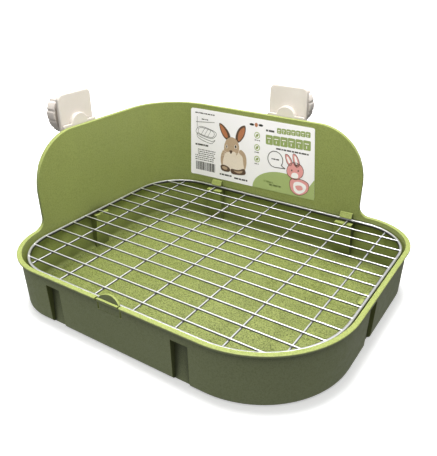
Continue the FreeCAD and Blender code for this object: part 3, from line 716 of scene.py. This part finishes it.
def bead(shape, centre, radii, rows=6, count=10):
    """A squashed, slightly uneven bead of weld metal."""
    rings = []
    for row in range(1, rows):
        lift = math.pi * row / rows
        ring = []
        for side in range(count):
            turn = 2 * math.pi * side / count
            swell = 1 + 0.08 * math.sin(3 * turn + centre.x * 900 + centre.y * 700)
            wide = math.sin(lift)
            way = (wide * math.cos(turn), wide * math.sin(turn), -math.cos(lift))
            ring.append([centre[i] + way[i] * radii[i] * swell for i in range(3)])
        rings.append(ring)
    shape.skin(rings)


def weld_grid():
    """Beads where the wires cross, and where their ends meet the frame wire."""
    welds = Shape()
    crossing = {}
    for name in (*LONG_WIRES, *CROSS_WIRES):
        low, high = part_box(name)
        crossing[name] = (low / MM, high / MM)
    for long in LONG_WIRES:
        low, high = crossing[long]
        line = (low + high) / 2
        for x in (low.x, high.x):
            bead(welds, Vector((x, line.y, line.z)), (1.5, 1.35, 1.25))
        for cross in CROSS_WIRES:
            first, last = crossing[cross]
            if first.y < line.y < last.y:
                x = (first.x + last.x) / 2
                bead(welds, Vector((x, line.y, (line.z + (first.z + last.z) / 2) / 2)), (1.5, 1.5, 0.9))
    for cross in CROSS_WIRES:
        low, high = crossing[cross]
        line = (low + high) / 2
        for y in (low.y, high.y):
            bead(welds, Vector((line.x, y, line.z)), (1.35, 1.5, 1.25))
    show("grid_welds", welds.mesh("grid_welds"), MESH_WIRE, "grid", 80)


weld_grid()

# ---------------------------------------------------------------- print on the label

# The label's corners (x, z) and the wall face it is stuck to, in millimetres.
LABEL_CORNERS = {
    "low_left": (-131.5, 60.5),
    "low_right": (49.5, 63.0),
    "high_right": (41.5, 150.0),
    "high_left": (-131.5, 150.0),
}
WALL_LEAN = math.tan(math.radians(2.0))
BEND = Vector((-117.0, 85.0))
BEND_RADIUS = 55.0
FILM_THICKNESS = 0.3
INK_STEP = 0.05

# The print's steps and gaps, in percent of the label, and the label's width over its height.
BAR_STEP = 1.2
TOO_SHORT = 0.01
WORD_GAP = 0.45
LAST_GAP = 0.8
LABEL_ASPECT = 2.03


def on_film(across, up, lift):
    """Point at a share of the label's width and height, in percent, lifted off the film."""
    a = across / 100
    b = up / 100
    corners = LABEL_CORNERS
    low = Vector(corners["low_left"]).lerp(Vector(corners["low_right"]), a)
    high = Vector(corners["high_left"]).lerp(Vector(corners["high_right"]), a)
    x, z = low.lerp(high, b)
    radius = BEND_RADIUS + z * WALL_LEAN - FILM_THICKNESS - lift
    return (x, BEND.y + math.sqrt(radius**2 - min(0.0, x - BEND.x) ** 2), z)


def print_bar(shape, left, low, right, high, layer=1):
    """Straight bar of ink that follows the film round its bend."""
    steps = max(1, math.ceil((right - left) / BAR_STEP))
    rings = []
    for step in range(steps + 1):
        across = left + (right - left) * step / steps
        top = layer * INK_STEP
        rings.append(
            [on_film(across, low, top), on_film(across, high, top),
             on_film(across, high, -INK_STEP), on_film(across, low, -INK_STEP)]
        )  # fmt: skip
    shape.skin(rings)


def print_patch(shape, outline, layer):
    """Flat patch of ink with the given outline."""
    top = [on_film(a, b, layer * INK_STEP) for a, b in outline]
    base = [on_film(a, b, -INK_STEP) for a, b in outline]
    shape.skin([top, base])


def print_line(shape, outline, width, layer=1, closed=True):
    """Thin line of ink through the outline's points; width in percent of the label's height."""
    ends = list(zip(outline, outline[1:] + outline[:1] if closed else outline[1:]))
    for (a, b), (c, d) in ends:
        along = Vector(((c - a) * LABEL_ASPECT, d - b))
        if along.length < TOO_SHORT:
            continue
        side = along.normalized().orthogonal() * width / 2
        step = Vector((side.x / LABEL_ASPECT, side.y))
        print_patch(
            shape,
            [(a + step.x, b + step.y), (c + step.x, d + step.y),
             (c - step.x, d - step.y), (a - step.x, b - step.y)],
            layer,
        )  # fmt: skip


def smooth_loop(points, steps=5):
    """Closed smooth curve through a few points."""
    loop = []
    count = len(points)
    for i in range(count):
        p0, p1, p2, p3 = (Vector(points[(i + k - 1) % count]) for k in range(4))
        for step in range(steps):
            t = step / steps
            loop.append(
                0.5 * (2 * p1 + (p2 - p0) * t + (2 * p0 - 5 * p1 + 4 * p2 - p3) * t**2
                       + (3 * p1 - p0 - 3 * p2 + p3) * t**3)
            )  # fmt: skip
    return loop


def oval(a, b, half_a, half_b, start=0, end=360, steps=28):
    """Points of an oval, or of part of one."""
    turns = [math.radians(start + (end - start) * step / steps) for step in range(steps)]
    return [(a + half_a * math.cos(t), b + half_b * math.sin(t)) for t in turns]


prints = {ink: Shape() for ink in INKS}


def print_text(ink, left, right, up, tall, first=0):
    """A row of short bars where small text stands."""
    lengths = (2.2, 1.2, 3.0, 0.9, 1.8, 2.6, 1.4)
    across = left
    word = first
    while across < right - LAST_GAP:
        end = min(right, across + lengths[word % len(lengths)] * tall / 1.8)
        print_bar(prints[ink], across, up - tall / 2, end, up + tall / 2)
        across = end + WORD_GAP
        word += 1


def print_left_column():
    """Small text, a line drawing of the tray, and a bar code."""
    print_text("grey", 3.5, 20.5, 94.0, 1.7)
    print_text("grey", 9.0, 15.0, 85.5, 1.5, 2)
    dark = prints["grey"]
    print_line(dark, [(5.0, 88.5), (5.0, 70.0)], 0.6, closed=False)
    print_line(dark, [(4.0, 80.5), (20.5, 83.5)], 0.6, closed=False)
    for inset in (0.0, 1.62):
        rim = [(4.2 + inset, 68.0), (8.5, 74.5 - inset), (20.0 - inset, 70.5),
               (21.8 - inset, 65.5), (17.5, 59.0 + inset), (6.0 + inset, 63.0)]  # fmt: skip
        print_line(dark, smooth_loop(rim, 4), 0.7)
    pan = [(5.0, 64.0), (6.2, 56.5), (17.0, 51.5), (21.0, 58.0), (17.5, 55.0), (7.0, 59.5)]
    print_line(dark, smooth_loop(pan, 4), 0.7)
    for share in (0.25, 0.5, 0.75):
        near = (5.5 + 12 * share, 64.0 - 4 * share)
        far = (9.0 + 11 * share, 73.0 - 3 * share)
        print_line(dark, [near, far], 0.5, closed=False)
    print_text("grey", 3.5, 16.0, 47.0, 2.6, 1)
    for row in range(6):
        indent = 2.2 if row < 3 else 0.0
        print_text("grey", 3.5 + indent, 22.0 - 1.1 * (row % 3), 39.5 - 3.1 * row, 1.3, row)
    across = 4.0
    for bar in range(17):
        wide = (0.35, 0.55, 0.9)[(bar * bar + bar // 3) % 3]
        print_bar(prints["black"], across, 8.0, across + wide, 21.0)
        across += wide + (0.3, 0.5)[bar % 2]


# Patches of the sitting rabbit: ink, layer, and points in percent of the label.
RABBIT = (
    ("cream", 1, ((29.0, 47), (26.3, 39), (25.8, 28), (27.3, 18), (33, 15.5), (41, 15.5),
                  (46, 20), (47.6, 33), (46.8, 44), (43.7, 50), (39, 50))),
    ("tan", 2, ((43.0, 51), (46.8, 45), (47.7, 33), (46.4, 22), (45.2, 30), (44.3, 41), (41.3, 46))),
    ("tan", 2, ((29.6, 48), (26.6, 40), (25.9, 29), (27.4, 21), (28.0, 31), (29.4, 41))),
    ("brown", 2, ((24.6, 84), (27.9, 82.5), (32.0, 75.5), (34.2, 67), (32.3, 61), (28.3, 65.5),
                  (25.6, 74.5))),
    ("ear", 3, ((25.3, 82), (27.6, 80.0), (30.6, 73.5), (32.0, 66.5), (30.4, 64.8), (28.2, 68.5),
                (26.2, 75.5))),
    ("brown", 2, ((46.3, 87), (47.0, 81), (45.6, 71), (42.0, 62), (39.0, 61.5), (38.6, 69),
                  (40.1, 78), (42.9, 84.5))),
    ("ear", 3, ((45.6, 84.2), (46.2, 80), (44.9, 72), (42.0, 64.3), (40.6, 64.8), (40.8, 72),
                (42.3, 79))),
    ("tan", 4, ((34.9, 67), (38.8, 65), (41.1, 58.5), (41.5, 51), (39.6, 42), (35, 37),
                (31.0, 39.5), (29.0, 46), (29.2, 54.5), (31.2, 62.5))),
    ("cream", 5, ((35.0, 45.5), (38.2, 46), (38.9, 41), (35.2, 34.5), (31.4, 37.5), (30.8, 43))),
    ("brown", 6, ((33.4, 46.5), (34.7, 47.6), (36.0, 46.8), (35.4, 43.5), (34.7, 42.4),
                  (34.0, 43.4))),
    ("brown", 3, ((25.9, 21.5), (29.2, 23.5), (33.4, 20.5), (33.6, 15.2), (30.2, 13.5), (26.6, 15.3))),
    ("brown", 3, ((34.8, 19.5), (40.8, 20.0), (45.4, 23.5), (47.1, 19.0), (46.0, 14.7),
                  (40.8, 12.6), (35.4, 12.8))),
    ("tan", 4, ((27.2, 20.0), (29.3, 21.4), (31.6, 19.6), (31.0, 16.8), (28.2, 17.0))),
    ("tan", 4, ((37.0, 17.6), (41.0, 18.2), (44.4, 20.2), (43.6, 16.6), (40.4, 15.2))),
)  # fmt: skip


def print_rabbit():
    """Printed picture of a sitting rabbit, in flat patches of colour."""
    for ink, layer, points in RABBIT:
        print_patch(prints[ink], smooth_loop(points), layer)
    for a, b, wide, tall in ((38.7, 54.2, 0.75, 2.3), (31.2, 52.0, 0.5, 1.9)):
        print_patch(prints["cream"], oval(a, b, wide + 0.45, tall + 0.8), 5)
        print_patch(prints["black"], oval(a, b, wide, tall), 6)
    for side in (-1, 1):
        for row in range(3):
            whisker = [(34.7 + side * 1.6, 42.5 - row), (34.7 + side * 7.5, 45.5 - 4 * row)]
            print_line(prints["cream"], whisker, 0.35, 6, closed=False)
    print_text("grey", 25.0, 36.0, 8.2, 2.4, 3)
    print_text("grey", 37.5, 48.5, 6.6, 2.4, 5)


def print_middle_column():
    """A plain mark, and three round symbols with text under them."""
    print_patch(prints["black"], oval(52.0, 90.6, 1.9, 1.6), 1)
    print_patch(prints["ear"], oval(55.6, 91.0, 1.3, 3.0), 1)
    print_patch(prints["black"], oval(59.2, 91.4, 1.9, 1.6), 1)
    for row, up in enumerate((76.6, 59.2, 42.4)):
        print_patch(prints["pale_green"], oval(56.3, up, 2.3, 4.7), 1)
        print_patch(prints["white"], oval(56.3, up, 1.7, 3.5), 2)
        leaf = [(55.3, up - 2.0), (56.9, up - 1.6), (57.4, up + 2.2), (55.7, up + 1.2)]
        print_patch(prints["green"], smooth_loop(leaf), 3)
        print_text("grey", 54.3, 58.6, up - 7.0, 1.3, row)


def block_outline(left, low, wide, tall):
    """Box with its corners cut."""
    a, b = 0.5, 1.0
    right = left + wide
    high = low + tall
    return [(left + a, low), (right - a, low), (right, low + b), (right, high - b),
            (right - a, high), (left + a, high), (left, high - b), (left, low + b)]  # fmt: skip


def print_title():
    """Rounded blocks of colour in place of a title, and a row of small bars under it."""
    white = prints["white"]
    print_text("grey", 63.3, 70.3, 86.0, 2.6, 1)
    for block in range(7):
        left = 71.9 + 3.6 * block
        up = 88.0 + 0.3 * block
        print_patch(prints["green"], block_outline(left, up - 3.6, 3.4, 7.6), 1)
        print_line(white, [(left + 0.7, up + 0.9), (left + 2.4, up + 1.1)], 0.9, 2, closed=False)
        print_line(white, [(left + 1.5, up - 2.4), (left + 1.5, up - 0.7)], 0.8, 2, closed=False)
    for block in range(6):
        left = 63.2 + 5.7 * block
        up = 73.1 + 0.35 * block
        print_patch(prints["green"], block_outline(left, up - 6.4, 5.5, 13.4), 1)
        print_line(white, [(left + 1.1, up + 2.4), (left + 4.1, up + 2.6)], 1.1, 2, closed=False)
        print_line(white, [(left + 2.5, up - 4.0), (left + 2.5, up - 0.4)], 1.0, 2, closed=False)
    print_text("grey", 71.3, 96.5, 63.0, 2.2, 2)


# Patches of the plain pink rabbit shape.
FIGURE = (
    ("pink", 3, ((78.4, 57), (81.0, 56.5), (83.7, 48), (82.0, 42.5), (79.6, 47))),
    ("white", 4, ((79.5, 54.5), (80.8, 53.7), (82.3, 48.2), (81.4, 46), (80.3, 49))),
    ("pink", 3, ((84.2, 60), (87.0, 58), (89.2, 47.5), (86.8, 42.5), (84.6, 49))),
    ("white", 4, ((85.3, 57), (86.6, 56), (87.7, 48.6), (86.6, 46), (85.7, 50.5))),
    ("pink", 3, ((85.7, 48.5), (90.2, 46), (92.1, 38.5), (90.6, 29.5), (85.7, 24.5), (81.2, 27.5),
                 (79.6, 34.5), (81.4, 44))),
    ("white", 4, ((84.0, 33), (87.5, 33.5), (88.2, 28), (85.7, 25.6), (83.0, 27.5))),
    ("pink", 3, ((83.2, 24), (90.6, 26), (95.8, 21.5), (94.9, 10), (89, 2.6), (83.8, 6), (81.9, 15))),
    ("white", 4, ((85.0, 19), (89.6, 22), (94.0, 18), (92.8, 9.5), (88.8, 4.6), (85.2, 8))),
    ("pink", 5, ((86.2, 15), (90.4, 17), (91.6, 12), (88, 9.6))),
)  # fmt: skip


def print_right_side():
    """Green hill, a speech bubble with bars for words, and a plain pink rabbit shape."""
    hill = [(100.0, 0.0), (100.0, 29.4), *oval(76.5, 0.0, 23.8, 30.0, 35, 180, 24), (52.7, 0.0)]
    print_patch(prints["pale_green"], hill, 1)
    print_text("green", 61.5, 69.0, 12.5, 2.4, 1)
    print_text("green", 66.0, 75.0, 8.6, 2.6, 4)
    bubble = [*oval(70.7, 47.3, 5.8, 11.6, -38, 298, 26), (78.4, 36.6)]
    print_line(prints["grey"], bubble, 1.1, 2)
    print_text("grey", 67.8, 73.6, 47.5, 1.8, 3)
    for ink, layer, points in FIGURE:
        loop = smooth_loop(points)
        print_patch(prints[ink], loop, layer)
        if layer == 3:
            print_line(prints["brown"], [tuple(point) for point in loop], 0.6, 6)
    for a, b in ((83.4, 36.5), (88.3, 37.5)):
        print_patch(prints["brown"], oval(a, b, 0.5, 1.3), 6)


print_left_column()
print_rabbit()
print_middle_column()
print_title()
print_right_side()
for ink, shape in prints.items():
    show(f"label_{ink}", shape.mesh(f"label_{ink}"), INKS[ink], "tray", 30)
